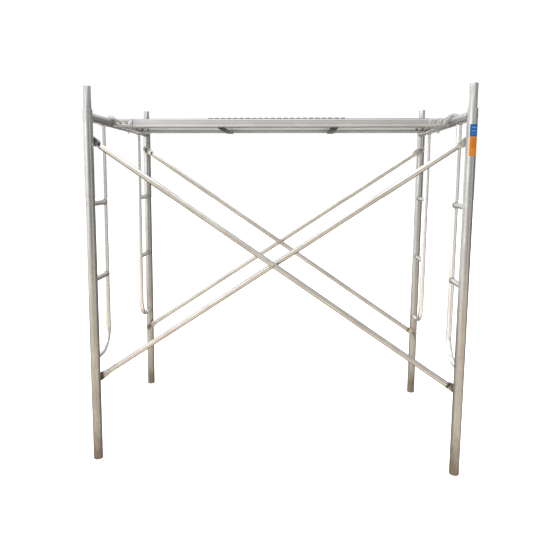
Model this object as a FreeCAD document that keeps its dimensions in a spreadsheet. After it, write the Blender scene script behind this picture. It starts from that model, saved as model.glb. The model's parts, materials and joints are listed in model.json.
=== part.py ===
import FreeCAD, Part
import os
import Sketcher
from FreeCAD import Placement, Rotation, Vector

# Frame scaffold section: two welded walk-through end frames, two pairs of crossed braces
# locked onto studs, and a steel walk board hooked over the top bars.
# X runs along the bay, Y across the frames (front is -Y), Z is up, millimetres.
# The origin is on the ground, midway between the four posts.

SIZES = [
    ("bay_length", 1630, "post centre to post centre along the bay"),
    ("frame_width", 914, "post centre to post centre across one end frame"),
    ("post_height", 1600, "foot to top edge of a post, without its spigot"),
    ("post_od", 42.4, "outside of the posts and top bars"),
    ("post_wall", 2.0, "wall of the posts and top bars"),
    ("mouth_spare", 10, "how far the reamed mouth runs on below the spigot"),
    ("mouth_step", 0.4, "how much the mouth is wider than the tube, in radius"),
    ("spigot_play", 2.2, "radial play of a spigot in the plain tube of the frame above"),
    ("spigot_wall", 2.5, "wall of the spigot"),
    ("spigot_reach", 100, "spigot length above the post"),
    ("spigot_seat", 100, "spigot length inside the post"),
    ("spigot_lead", 1.5, "chamfer at the top of the spigot"),
    ("bead_width", 8, "width of each of the two rings that centre the spigot"),
    ("bead_gap", 0.2, "radial gap from ring to post mouth"),
    ("crossbar_drop", 30, "top edge of the post to the axis of the top bar"),
    ("slim_od", 25, "outside of the inner uprights and rungs"),
    ("slim_wall", 1.8, "wall of the inner uprights and rungs"),
    ("inner_offset", 178, "post axis to inner upright axis"),
    ("foot_height", 482, "height where the inner upright turns into the post"),
    ("foot_bend", 100, "bend radius at the foot of the inner upright"),
    ("rung_high", 1190, "height of the upper rung"),
    ("rung_low", 845, "height of the lower rung"),
    ("weld_gap", 0.2, "root gap left at a coped tube end for the weld"),
    ("stud_drop", 125, "top edge of the post to the upper brace stud"),
    ("stud_low", 376, "height of the lower brace stud"),
    ("stud_od", 13, "outside of the brace stud"),
    ("stud_tail", 14, "latch pivot to the end of the stud"),
    ("stud_lead", 1.5, "chamfer at the end of the stud"),
    ("collar_od", 22, "outside of the collar at the root of the stud"),
    ("collar_length", 5, "post surface to the seat for the brace"),
    ("latch_thick", 3, "thickness of the gravity latch"),
    ("latch_wide", 10, "width of the gravity latch"),
    ("latch_hang", 22, "latch pivot to the centre of its round tip"),
    ("latch_gap", 3.6, "face of the brace end to the hanging latch"),
    ("latch_play", 0.3, "gap each side of the latch in its slot"),
    ("latch_pin_od", 4, "shank of the latch rivet"),
    ("latch_pin_gap", 0.06, "radial running gap of the latch on its rivet"),
    ("latch_head_od", 7, "head of the latch rivet"),
    ("latch_head", 1.2, "height of each head of the latch rivet"),
    ("brace_od", 25, "outside of a brace tube"),
    ("brace_wall", 1.6, "wall of a brace tube"),
    ("flat_thick", 4, "thickness of the flattened brace end"),
    ("flat_wide", 34, "width of the flattened brace end"),
    ("flat_length", 34, "brace hole to the start of the taper"),
    ("taper_length", 28, "length of the taper from flat to round"),
    ("brace_hole_gap", 0.75, "radial play of the brace end on its stud"),
    ("brace_seat_gap", 0.4, "play between the collar and the brace end"),
    ("pivot_od", 8, "rivet through the middle of a brace pair"),
    ("pivot_gap", 0.1, "radial gap round that rivet"),
    ("pivot_head_od", 15, "head of the brace rivet"),
    ("pivot_head", 3, "height of each head of the brace rivet"),
    ("washer_od", 20, "spacer between two crossed braces"),
    ("washer_thick", 3, "thickness of that spacer"),
    ("board_width", 380, "walk board across the outside of its hooks"),
    ("board_rise", 18, "axis of the top bar to the top of the deck"),
    ("board_end_gap", 14, "end of the board to the side of the top bar"),
    ("deck_sheet", 1.5, "thickness of the deck sheet"),
    ("groove_wide", 20, "inside width of a deck groove"),
    ("groove_deep", 8, "depth of a deck groove"),
    ("groove_pitch", 92, "spacing of the deck grooves"),
    ("rail_height", 38.5, "height of the side rail under the deck sheet"),
    ("rail_flange", 18, "width of the side rail's flanges"),
    ("rail_wall", 1.6, "wall of the side rail"),
    ("rail_corner", 2.4, "outside bend radius of the side rail"),
    ("end_flange", 22, "flange width of the end channel"),
    ("end_wall", 2, "wall of the end channel"),
    ("strip_wide", 35, "width of a cross strip under the board"),
    ("strip_thick", 3, "thickness of a cross strip"),
    ("strip_place", 271, "middle of the board to the middle of a cross strip"),
    ("hook_thick", 6, "thickness of a hook plate"),
    ("hook_gap", 0.8, "radial play of the hook on the top bar"),
    ("hook_band", 17, "width of the hook round the top bar"),
    ("hook_drop", 24, "how far the hook reaches below the bar's axis"),
    ("hook_tail", 112, "axis of the top bar to the end of the hook's tail"),
    ("hook_blend", 30, "rounding where the hook rises from its tail"),
    ("rivet_near", 56, "axis of the top bar to the nearer hook rivet"),
    ("rivet_far", 86, "axis of the top bar to the farther hook rivet"),
    ("rivet_fall", 2, "axis of the top bar down to the level of the hook rivets"),
    ("rivet_od", 8, "shank of a hook rivet"),
    ("rivet_gap", 0.05, "radial gap round a hook rivet"),
    ("rivet_head_od", 14, "head of a hook rivet"),
    ("rivet_head", 2.5, "height of a hook rivet's head"),
    ("label_thick", 0.3, "thickness of a label band"),
    ("label_gap", 0.05, "glue line between a label and the post"),
    ("label_drop", 67, "top edge of the post to the top of the blue band"),
    ("blue_high", 50, "height of the blue band"),
    ("orange_high", 79, "height of the orange band"),
    ("label_wrap", 150, "degrees of the post that a label covers"),
    ("label_start", -125, "degrees from +X where a label starts"),
]

X_AXIS = Vector(1, 0, 0)
Y_AXIS = Vector(0, 1, 0)
Z_AXIS = Vector(0, 0, 1)
ALONG_X = Rotation(Y_AXIS, 90)      # turns an upright cylinder to lie along X
ALONG_Y = Rotation(X_AXIS, -90)     # turns an upright cylinder to lie along Y

# Each corner: name, side along X, side along Y (-1 is left or front).
CORNERS = [("front_left", -1, -1), ("front_right", 1, -1), ("rear_left", -1, 1), ("rear_right", 1, 1)]
ENDS = [("left", -1), ("right", 1)]
SIDES = [("front", -1), ("rear", 1)]
HOOK_RIVETS = [("near", "Sizes.rivet_near"), ("far", "Sizes.rivet_far")]
STUD_HIGH = "(Sizes.post_height - Sizes.stud_drop)"
LEVELS = [("upper", STUD_HIGH), ("lower", "Sizes.stud_low")]

# Lengths that several sub-parts share, written in the sheet's own names.
BAR_HEIGHT = "(Sizes.post_height - Sizes.crossbar_drop)"
POST_RADIUS = "Sizes.post_od / 2"
BORE_RADIUS = f"({POST_RADIUS} - Sizes.post_wall)"
MOUTH_RADIUS = f"({BORE_RADIUS} + Sizes.mouth_step)"
BRACE_PLANE = ("(Sizes.frame_width / 2 - Sizes.post_od / 2 - Sizes.collar_length"
               " - Sizes.brace_seat_gap - Sizes.flat_thick / 2)")
BRACE_DROP = f"({STUD_HIGH} - Sizes.stud_low)"
BRACE_LENGTH = f"sqrt(Sizes.bay_length ^ 2 + {BRACE_DROP} ^ 2)"
BRACE_SHIFT = "((Sizes.brace_od + Sizes.washer_thick) / 2)"
BRACE_MIDDLE = f"({STUD_HIGH} + Sizes.stud_low) / 2"
HOOK_FACE = "Sizes.board_width / 2"
RAIL_FACE = "(Sizes.board_width / 2 - Sizes.hook_thick)"
RAIL_END = "(Sizes.bay_length / 2 - Sizes.post_od / 2 - Sizes.board_end_gap)"
DECK_UNDERSIDE = f"({BAR_HEIGHT} + Sizes.board_rise - Sizes.deck_sheet)"
RAIL_FOOT = f"({DECK_UNDERSIDE} - Sizes.rail_height)"

doc = FreeCAD.newDocument("frame_scaffold_section")
sub_parts = []


def fill_sheet():
    """Put every driving size on the sheet, with its meaning beside it."""
    sheet = doc.addObject("Spreadsheet::Sheet", "Sizes")
    for row, (alias, value, meaning) in enumerate(SIZES, start=1):
        sheet.set(f"A{row}", meaning)
        sheet.set(f"B{row}", str(value))
        sheet.setAlias(f"B{row}", alias)
    doc.recompute()


def bind(thing, **expressions):
    """Tie properties to the sheet; a double underscore in a name stands for a dot."""
    for name, expression in expressions.items():
        thing.setExpression(name.replace("__", "."), expression)
    return thing


def sub_part(thing, node):
    """Name a finished object after its node and list it for export."""
    thing.Label = node
    sub_parts.append(thing)
    return thing


def move(thing, x="0", y="0", z="0", turn=None):
    """Place an object by sheet expressions, with an optional fixed rotation."""
    thing.Placement = Placement(Vector(), turn or Rotation())
    return bind(thing, Placement__Base__x=x, Placement__Base__y=y, Placement__Base__z=z)


def at_corner(thing, x_side, y_side, z="0"):
    """Stand a sub-part on a corner, its own +Y pointing to the middle of the frame."""
    turn = Rotation(Z_AXIS, 0 if y_side < 0 else 180)
    across = f"{y_side} * Sizes.frame_width / 2"
    return move(thing, f"{x_side} * Sizes.bay_length / 2", across, z, turn)


# ---- PartDesign helpers: bodies made from ring sketches, pads and coping cuts ----

def new_body(node):
    return sub_part(doc.addObject("PartDesign::Body", node), node)


def origin_plane(body, role):
    return next(item for item in body.Origin.OriginFeatures if item.Role == role)


def circle_sketch(body, name, role, radii, offset="0"):
    """Concentric circles on an origin plane, one named radius for each expression."""
    sketch = body.newObject("Sketcher::SketchObject", name)
    sketch.AttachmentSupport = [(origin_plane(body, role), "")]
    sketch.MapMode = "FlatFace"
    bind(sketch, AttachmentOffset__Base__z=offset)
    for index, radius in enumerate(radii):
        sketch.addGeometry(Part.Circle(Vector(), Z_AXIS, 10 - index), False)
        sketch.addConstraint(Sketcher.Constraint("Coincident", index, 3, -1, 1))
        sketch.addConstraint(Sketcher.Constraint("Radius", index, 10 - index))
        place = sketch.ConstraintCount - 1
        sketch.renameConstraint(place, f"radius{index}")
        sketch.setExpression(f"Constraints.radius{index}", radius)
    return sketch


def pad(body, sketch, length, middle=False, flip=False):
    feature = body.newObject("PartDesign::Pad", sketch.Name + "_pad")
    feature.Profile = sketch
    feature.SideType = "Symmetric" if middle else "One side"
    feature.Reversed = flip
    return bind(feature, Length=length)


def round_cut(body, name, radius, length, x="0", y="0", z="0", turn=None):
    """Take a cylinder out of a body: a cope, a bore or a pin hole."""
    cut = body.newObject("PartDesign::SubtractiveCylinder", name)
    bind(cut, Radius=radius, Height=length)
    return move(cut, x, y, z, turn)


# ---- End frames ----

def post(node, x_side, y_side):
    """Plain tube leg, open below, with a reamed mouth for the spigot."""
    body = new_body(node)
    wall = circle_sketch(body, node + "_ring", "XY_Plane", [POST_RADIUS, BORE_RADIUS])
    pad(body, wall, "Sizes.post_height")
    depth = "(Sizes.spigot_seat + Sizes.mouth_spare)"
    round_cut(body, node + "_mouth", MOUTH_RADIUS, f"2 * {depth}", z=f"Sizes.post_height - {depth}")
    at_corner(body, x_side, y_side)


def spigot(node, x_side, y_side):
    """Joint tube whose two rings centre it in the post mouth; the upper ring is flush with the post."""
    body = new_body(node)
    outside = f"({BORE_RADIUS} - Sizes.spigot_play)"
    inside = f"{outside} - Sizes.spigot_wall"
    tube = circle_sketch(body, node + "_ring", "XY_Plane", [outside, inside], "-Sizes.spigot_seat")
    pad(body, tube, "Sizes.spigot_seat + Sizes.spigot_reach")
    for name, foot in (("top", "-Sizes.bead_width"), ("low", "-Sizes.spigot_seat")):
        rings = [f"{MOUTH_RADIUS} - Sizes.bead_gap", inside]
        bead = circle_sketch(body, f"{node}_{name}_bead", "XY_Plane", rings, foot)
        pad(body, bead, "Sizes.bead_width")
    chamfer_rim(body, node + "_lead", "Sizes.spigot_lead", Z_AXIS)
    at_corner(body, x_side, y_side, "Sizes.post_height")


def chamfer_rim(body, name, size, axis):
    """Chamfer the outer circle at the far end of a body along an axis."""
    doc.recompute()
    last = body.Tip
    rims = [(edge.CenterOfMass.dot(axis), edge.Curve.Radius, f"Edge{number}")
            for number, edge in enumerate(last.Shape.Edges, start=1) if isinstance(edge.Curve, Part.Circle)]
    feature = body.newObject("PartDesign::Chamfer", name)
    feature.Base = (last, [max(rims)[2]])
    return bind(feature, Size=size)


def crossbar(node, x_side):
    """Top bar of an end frame, coped onto both posts."""
    body = new_body(node)
    wall = circle_sketch(body, node + "_ring", "XZ_Plane", [POST_RADIUS, BORE_RADIUS])
    pad(body, wall, "Sizes.frame_width", middle=True)
    for side, y_side in SIDES:
        round_cut(body, f"{node}_{side}_cope", f"{POST_RADIUS} + Sizes.weld_gap", "4 * Sizes.post_od",
                  y=f"{y_side} * Sizes.frame_width / 2", z="-2 * Sizes.post_od")
    move(body, f"{x_side} * Sizes.bay_length / 2", z=BAR_HEIGHT)


def inner_upright(node, x_side, y_side):
    """Slim tube from under the top bar, bent at its foot to meet the post."""
    body = new_body(node)
    route = bend_sketch(body, node + "_route")
    section = circle_sketch(body, node + "_ring", "XZ_Plane",
                            ["Sizes.slim_od / 2", "Sizes.slim_od / 2 - Sizes.slim_wall"])
    tube = body.newObject("PartDesign::AdditivePipe", node + "_pipe")
    tube.Profile = section
    tube.Spine = (route, [])
    cope = f"{POST_RADIUS} + Sizes.weld_gap"
    round_cut(body, node + "_post_cope", cope, "4 * Sizes.post_od", z="-2 * Sizes.post_od")
    round_cut(body, node + "_bar_cope", cope, "4 * Sizes.post_od", y="Sizes.inner_offset - 2 * Sizes.post_od",
              z=f"{BAR_HEIGHT} - Sizes.foot_height", turn=ALONG_Y)
    at_corner(body, x_side, y_side, "Sizes.foot_height")


def bend_sketch(body, name):
    """Route of the inner upright: out from the post, a quarter bend, then up to the top bar."""
    sketch = body.newObject("Sketcher::SketchObject", name)
    sketch.AttachmentSupport = [(origin_plane(body, "YZ_Plane"), "")]
    sketch.MapMode = "FlatFace"
    offset, bend = doc.Sizes.get("inner_offset"), doc.Sizes.get("foot_bend")
    top = doc.Sizes.get("post_height") - doc.Sizes.get("crossbar_drop") - doc.Sizes.get("foot_height")
    centre = Vector(offset - bend, bend, 0)
    quarter = Part.ArcOfCircle(Part.Circle(centre, Z_AXIS, bend), -1.5707963, 0)
    sketch.addGeometry(Part.LineSegment(Vector(), Vector(offset - bend, 0, 0)), False)
    sketch.addGeometry(quarter, False)
    sketch.addGeometry(Part.LineSegment(Vector(offset, bend, 0), Vector(offset, top, 0)), False)
    rules = [("Coincident", 0, 1, -1, 1), ("Tangent", 0, 2, 1, 1), ("Tangent", 1, 2, 2, 1), ("Horizontal", 0),
             ("Vertical", 2), ("Radius", 1, bend), ("DistanceX", -1, 1, 2, 2, offset),
             ("DistanceY", -1, 1, 2, 2, top)]
    for rule in rules:
        sketch.addConstraint(Sketcher.Constraint(*rule))
    names = [(5, "bend", "Sizes.foot_bend"), (6, "offset", "Sizes.inner_offset"),
             (7, "rise", f"{BAR_HEIGHT} - Sizes.foot_height")]
    for place, label, expression in names:
        sketch.renameConstraint(place, label)
        sketch.setExpression("Constraints." + label, expression)
    return sketch


def rung(node, x_side, y_side, height):
    """Short tube from the post to the inner upright, coped at both ends."""
    body = new_body(node)
    section = circle_sketch(body, node + "_ring", "XZ_Plane",
                            ["Sizes.slim_od / 2", "Sizes.slim_od / 2 - Sizes.slim_wall"])
    pad(body, section, "Sizes.inner_offset", flip=True)
    round_cut(body, node + "_post_cope", f"{POST_RADIUS} + Sizes.weld_gap", "4 * Sizes.slim_od",
              z="-2 * Sizes.slim_od")
    round_cut(body, node + "_upright_cope", "Sizes.slim_od / 2 + Sizes.weld_gap", "4 * Sizes.slim_od",
              y="Sizes.inner_offset", z="-2 * Sizes.slim_od")
    at_corner(body, x_side, y_side, height)


# ---- Brace studs and their gravity latches ----

LATCH_PIVOT = (f"({POST_RADIUS} + Sizes.collar_length + Sizes.brace_seat_gap + Sizes.flat_thick"
               " + Sizes.latch_gap + Sizes.latch_wide / 2)")


def brace_stud(node, x_side, y_side, height):
    """Turned stud welded to the post: a collar, a shank and a slot for the latch."""
    body = new_body(node)
    collar = circle_sketch(body, node + "_collar", "XZ_Plane", ["Sizes.collar_od / 2"])
    pad(body, collar, f"{POST_RADIUS} + Sizes.collar_length", flip=True)
    shank = circle_sketch(body, node + "_shank", "XZ_Plane", ["Sizes.stud_od / 2"])
    pad(body, shank, f"{LATCH_PIVOT} + Sizes.stud_tail", flip=True)
    chamfer_rim(body, node + "_lead", "Sizes.stud_lead", Y_AXIS)
    round_cut(body, node + "_cope", f"{POST_RADIUS} + Sizes.weld_gap", "4 * Sizes.collar_od",
              z="-2 * Sizes.collar_od")
    slot = body.newObject("PartDesign::SubtractiveBox", node + "_slot")
    bind(slot, Length="Sizes.latch_thick + 2 * Sizes.latch_play", Height="2 * Sizes.stud_od",
         Width="Sizes.latch_wide + 2 * Sizes.stud_tail")
    move(slot, "-Sizes.latch_thick / 2 - Sizes.latch_play",
         f"{LATCH_PIVOT} - Sizes.latch_wide / 2 - 2 * Sizes.latch_play", "-Sizes.stud_od")
    round_cut(body, node + "_rivet_hole", "Sizes.latch_pin_od / 2 + Sizes.latch_pin_gap", "2 * Sizes.stud_od",
              x="-Sizes.stud_od", y=LATCH_PIVOT, turn=ALONG_X)
    at_corner(body, x_side, y_side, height)


def latch(node, x_side, y_side, height):
    """Flat latch that hangs from its rivet and keeps the brace on the stud."""
    plate = doc.addObject("Part::Box", node + "_plate")
    bind(plate, Length="Sizes.latch_thick", Width="Sizes.latch_wide", Height="Sizes.latch_hang")
    move(plate, "-Sizes.latch_thick / 2", "-Sizes.latch_wide / 2", "-Sizes.latch_hang")
    ends = [cylinder(f"{node}_{name}", "Sizes.latch_wide / 2", "Sizes.latch_thick",
                     "-Sizes.latch_thick / 2", z=z, turn=ALONG_X)
            for name, z in (("eye", "0"), ("tip", "-Sizes.latch_hang"))]
    hole = cylinder(node + "_hole", "Sizes.latch_pin_od / 2 + Sizes.latch_pin_gap", "2 * Sizes.latch_thick",
                    "-Sizes.latch_thick", turn=ALONG_X)
    whole = cut(node, join(node + "_blank", [plate] + ends), hole)
    sub_part(whole, node)
    place_at_stud(whole, x_side, y_side, height)


def latch_rivet(name, x_side, y_side, height):
    """Rivet across the slot of a stud."""
    half = "Sizes.stud_od / 2"
    shank = cylinder(name + "_shank", "Sizes.latch_pin_od / 2", "Sizes.stud_od", f"-{half}", turn=ALONG_X)
    heads = [cylinder(f"{name}_head_{end}", "Sizes.latch_head_od / 2", "Sizes.latch_head", start,
                      turn=ALONG_X)
             for end, start in (("a", half), ("b", f"-{half} - Sizes.latch_head"))]
    return place_at_stud(join(name, [shank] + heads), x_side, y_side, height)


def place_at_stud(thing, x_side, y_side, height):
    """Put a piece on the pivot of a latch, which lies inwards of the post."""
    across = f"{y_side} * (Sizes.frame_width / 2 - {LATCH_PIVOT})"
    return move(thing, f"{x_side} * Sizes.bay_length / 2", across, height)


# ---- Part helpers: primitives and booleans bound to the sheet ----

def cylinder(name, radius, length, x="0", y="0", z="0", turn=None):
    solid = doc.addObject("Part::Cylinder", name)
    bind(solid, Radius=radius, Height=length)
    return move(solid, x, y, z, turn)


def box(name, length, width, height, x="0", y="0", z="0"):
    solid = doc.addObject("Part::Box", name)
    bind(solid, Length=length, Width=width, Height=height)
    return move(solid, x, y, z)


def join(name, pieces):
    whole = doc.addObject("Part::MultiFuse", name)
    whole.Shapes = pieces
    whole.Refine = True
    return whole


def cut(name, base, tool):
    whole = doc.addObject("Part::Cut", name)
    whole.Base = base
    whole.Tool = tool
    return whole


def group(node, solids):
    """One node that holds several separate solids of the same kind."""
    whole = doc.addObject("Part::Compound", node)
    whole.Links = solids
    return sub_part(whole, node)


# ---- Cross braces ----

def brace(node, y_side, falls):
    """Tube with both ends pressed flat and punched; it runs beside its partner, clear by a spacer."""
    shift = f"-{BRACE_SHIFT}" if falls else BRACE_SHIFT
    start = "(Sizes.flat_length + Sizes.taper_length)"
    rod = cylinder(node + "_rod", "Sizes.brace_od / 2", f"{BRACE_LENGTH} - 2 * {start}",
                   start, shift, turn=ALONG_X)
    ends = [piece for name, side in ENDS for piece in brace_end(f"{node}_{name}", side, shift)]
    bore = cylinder(node + "_bore", "Sizes.brace_od / 2 - Sizes.brace_wall", f"{BRACE_LENGTH} - 2 * {start}",
                    start, shift, turn=ALONG_X)
    holes = [cylinder(f"{node}_hole_{name}", "Sizes.stud_od / 2 + Sizes.brace_hole_gap",
                      "4 * Sizes.flat_thick", place, "-2 * Sizes.flat_thick", turn=ALONG_Y)
             for name, place in (("left", "0"), ("right", BRACE_LENGTH))]
    middle = cylinder(node + "_rivet_hole", "Sizes.pivot_od / 2 + Sizes.pivot_gap", "4 * Sizes.brace_od",
                      f"{BRACE_LENGTH} / 2", "-2 * Sizes.brace_od", turn=ALONG_Y)
    openings = join(node + "_openings", [bore, middle] + holes)
    whole = sub_part(cut(node, join(node + "_blank", [rod] + ends), openings), node)
    sign, height = (1, STUD_HIGH) if falls else (-1, "Sizes.stud_low")
    turned = Rotation(Y_AXIS, 30)       # only its axis stays: the next line sets the angle
    move(whole, "-Sizes.bay_length / 2", f"{y_side} * {BRACE_PLANE}", height, turned)
    bind(whole, Placement__Rotation__Angle=f"{sign} * atan2({BRACE_DROP}; Sizes.bay_length)")


def brace_end(name, side, shift):
    """Flattened eye and the taper that joins it to the round tube."""
    def along(distance):
        return distance if side < 0 else f"{BRACE_LENGTH} - ({distance})"
    eye = cylinder(name + "_eye", "Sizes.flat_wide / 2", "Sizes.flat_thick", along("0"),
                   "-Sizes.flat_thick / 2", turn=ALONG_Y)
    flat = box(name + "_flat", "Sizes.flat_length", "Sizes.flat_thick", "Sizes.flat_wide",
               "0" if side < 0 else along("Sizes.flat_length"), "-Sizes.flat_thick / 2",
               "-Sizes.flat_wide / 2")
    pressed = doc.addObject("Part::Ellipse", name + "_pressed")
    bind(pressed, MajorRadius="Sizes.flat_wide / 2", MinorRadius="Sizes.flat_thick / 2")
    move(pressed, along("Sizes.flat_length"), turn=ALONG_X)
    full = doc.addObject("Part::Circle", name + "_full")
    bind(full, Radius="Sizes.brace_od / 2")
    move(full, along("Sizes.flat_length + Sizes.taper_length"), shift, turn=ALONG_X)
    taper = doc.addObject("Part::Loft", name + "_taper")
    taper.Sections = [pressed, full]
    taper.Solid = True
    taper.Ruled = False
    return [eye, flat, taper]


def brace_rivet(name, y_side):
    """Rivet on which the two braces of a pair turn when they are folded for storage."""
    half = "(Sizes.brace_od + Sizes.washer_thick / 2)"
    shank = cylinder(name + "_shank", "Sizes.pivot_od / 2", f"2 * {half}", y=f"-{half}", turn=ALONG_Y)
    heads = [cylinder(f"{name}_head_{end}", "Sizes.pivot_head_od / 2", "Sizes.pivot_head", y=start,
                      turn=ALONG_Y)
             for end, start in (("a", half), ("b", f"-{half} - Sizes.pivot_head"))]
    return move(join(name, [shank] + heads), y=f"{y_side} * {BRACE_PLANE}", z=BRACE_MIDDLE)


def brace_washer(name, y_side):
    """Spacer that keeps the crossed tubes apart."""
    disc = cylinder(name + "_disc", "Sizes.washer_od / 2", "Sizes.washer_thick", y="-Sizes.washer_thick / 2",
                    turn=ALONG_Y)
    hole = cylinder(name + "_hole", "Sizes.pivot_od / 2 + Sizes.pivot_gap", "4 * Sizes.washer_thick",
                    y="-2 * Sizes.washer_thick", turn=ALONG_Y)
    return move(cut(name, disc, hole), y=f"{y_side} * {BRACE_PLANE}", z=BRACE_MIDDLE)


# ---- Walk board ----

def deck(node):
    """Steel deck sheet with three grooves rolled along it."""
    sheet = box(node + "_sheet", f"2 * {RAIL_END}", f"2 * {RAIL_FACE}", "Sizes.deck_sheet",
                f"-{RAIL_END}", f"-{RAIL_FACE}", DECK_UNDERSIDE)
    ribs, grooves = [], []
    for index in (-1, 0, 1):
        middle = f"({index} * Sizes.groove_pitch)"
        side = f"{middle} - Sizes.groove_wide / 2 - Sizes.deck_sheet"
        ribs.append(box(f"{node}_rib{index + 1}", f"2 * {RAIL_END}",
                        "Sizes.groove_wide + 2 * Sizes.deck_sheet", "Sizes.groove_deep",
                        f"-{RAIL_END}", side, f"{DECK_UNDERSIDE} - Sizes.groove_deep"))
        grooves.append(box(f"{node}_groove{index + 1}", f"4 * {RAIL_END}", "Sizes.groove_wide",
                           "2 * Sizes.groove_deep", f"-2 * {RAIL_END}", f"{middle} - Sizes.groove_wide / 2",
                           f"{DECK_UNDERSIDE} - Sizes.groove_deep + Sizes.deck_sheet"))
    sub_part(cut(node, join(node + "_blank", [sheet] + ribs), join(node + "_grooves", grooves)), node)


def side_rail(node, y_side):
    """Rolled channel along one edge of the board, open towards the middle."""
    outer = box(node + "_outer", f"2 * {RAIL_END}", "Sizes.rail_flange", "Sizes.rail_height",
                f"-{RAIL_END}", f"-{RAIL_FACE}", RAIL_FOOT)
    inner = box(node + "_inner", f"4 * {RAIL_END}", "Sizes.rail_flange",
                "Sizes.rail_height - 2 * Sizes.rail_wall",
                f"-2 * {RAIL_END}", f"Sizes.rail_wall - {RAIL_FACE}", f"{RAIL_FOOT} + Sizes.rail_wall")
    channel = cut(node + "_channel", outer, inner)
    channel = cut(node + "_punched", channel, rivet_holes(node, "-Sizes.board_width / 2"))
    doc.recompute()
    rail_face = doc.Sizes.get("board_width") / 2 - doc.Sizes.get("hook_thick")
    corners = [number for number, edge in enumerate(channel.Shape.Edges, start=1)
               if edge.BoundBox.XLength > doc.Sizes.get("bay_length") / 2
               and abs(edge.CenterOfMass.y + rail_face) < 1e-6]
    rounded = doc.addObject("Part::Fillet", node)
    rounded.Base = channel
    radius = doc.Sizes.get("rail_corner")
    rounded.Edges = [(number, radius, radius) for number in corners]
    sub_part(rounded, node)
    rounded.Placement = Placement(Vector(), Rotation(Z_AXIS, 0 if y_side < 0 else 180))


def rivet_holes(node, y):
    """Holes for the hook rivets, through everything near one edge of the board."""
    holes = []
    for name, x_side in ENDS:
        for which, reach in HOOK_RIVETS:
            holes.append(cylinder(f"{node}_{name}_{which}_hole", "Sizes.rivet_od / 2 + Sizes.rivet_gap",
                                  "4 * Sizes.hook_thick", f"{x_side} * (Sizes.bay_length / 2 - {reach})",
                                  f"{y} - Sizes.hook_thick", f"{BAR_HEIGHT} - Sizes.rivet_fall", ALONG_Y))
    return join(node + "_holes", holes)


def end_channel(node, x_side):
    """Cross channel that closes the end of the board under the deck grooves."""
    height = "(Sizes.rail_height - Sizes.rail_wall - Sizes.groove_deep)"
    foot = f"{RAIL_FOOT} + Sizes.rail_wall"
    across = f"({RAIL_FACE} - Sizes.rail_wall)"
    outer = box(node + "_outer", "Sizes.end_flange", f"2 * {across}", height,
                f"-{RAIL_END}", f"-{across}", foot)
    inner = box(node + "_inner", "Sizes.end_flange", f"4 * {across}", f"{height} - 2 * Sizes.end_wall",
                f"Sizes.end_wall - {RAIL_END}", f"-2 * {across}", f"{foot} + Sizes.end_wall")
    whole = sub_part(cut(node, outer, inner), node)
    whole.Placement = Placement(Vector(), Rotation(Z_AXIS, 0 if x_side < 0 else 180))


def cross_strip(node, x_side):
    """Flat strip welded across the underside of the rails."""
    sub_part(box(node, "Sizes.strip_wide", f"2 * {RAIL_FACE}", "Sizes.strip_thick",
                 f"{x_side} * Sizes.strip_place - Sizes.strip_wide / 2", f"-{RAIL_FACE}",
                 f"{RAIL_FOOT} - Sizes.strip_thick"), node)


def hook(node, x_side, y_side):
    """Plate hook over the top bar, riveted to the outside of a side rail.

    It is drawn for the left front corner, with the top bar's axis along its own Y, and then turned.
    """
    throat = "(Sizes.post_od / 2 + Sizes.hook_gap)"
    crown = f"({throat} + Sizes.hook_band)"
    tail_foot = "(Sizes.board_rise - Sizes.deck_sheet - Sizes.rail_height + Sizes.rail_corner)"
    head = cylinder(node + "_head", crown, "Sizes.hook_thick", turn=ALONG_Y)
    tail = box(node + "_tail", "Sizes.hook_tail", "Sizes.hook_thick",
               f"Sizes.board_rise - Sizes.deck_sheet - {tail_foot}", z=tail_foot)
    blank = join(node + "_blank", [head, tail])
    below = box(node + "_below", f"{crown} + {throat}", "4 * Sizes.hook_thick", f"2 * {crown}", f"-{crown}",
                "-2 * Sizes.hook_thick", f"-2 * {crown} - Sizes.hook_drop")
    inside = box(node + "_inside", f"2 * {crown}", "4 * Sizes.hook_thick", f"2 * {crown}", "0",
                 "-2 * Sizes.hook_thick", f"-2 * {crown} + {tail_foot}")
    mouth = box(node + "_mouth", f"2 * {throat}", "4 * Sizes.hook_thick", f"2 * {crown}", f"-{throat}",
                "-2 * Sizes.hook_thick", f"-2 * {crown}")
    seat = cylinder(node + "_seat", throat, "4 * Sizes.hook_thick", y="-2 * Sizes.hook_thick", turn=ALONG_Y)
    shape = cut(node + "_outline", blank, join(node + "_openings", [below, inside, mouth, seat]))
    shape = cut(node + "_punched", shape, hook_rivet_holes(node))
    doc.recompute()
    rounded = doc.addObject("Part::Fillet", node)
    rounded.Base = shape
    radius = doc.Sizes.get("hook_blend")
    rounded.Edges = [(blend_edge(shape.Shape), radius, radius)]
    sub_part(rounded, node)
    turn = {(-1, -1): Rotation(), (1, 1): Rotation(Z_AXIS, 180)}.get((x_side, y_side))
    start = f"-{HOOK_FACE}" if y_side < 0 else HOOK_FACE
    if turn is None:
        turn = Rotation(Z_AXIS, 180 if x_side > 0 else 0)
        start = f"-{RAIL_FACE}" if y_side < 0 else RAIL_FACE
    move(rounded, f"{x_side} * Sizes.bay_length / 2", start, BAR_HEIGHT, turn)


def hook_rivet_holes(node):
    """The two holes in a hook's tail."""
    holes = [cylinder(f"{node}_{which}_hole", "Sizes.rivet_od / 2 + Sizes.rivet_gap", "4 * Sizes.hook_thick",
                      reach, "-2 * Sizes.hook_thick", "-Sizes.rivet_fall", ALONG_Y)
             for which, reach in HOOK_RIVETS]
    return join(node + "_holes", holes)


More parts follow.
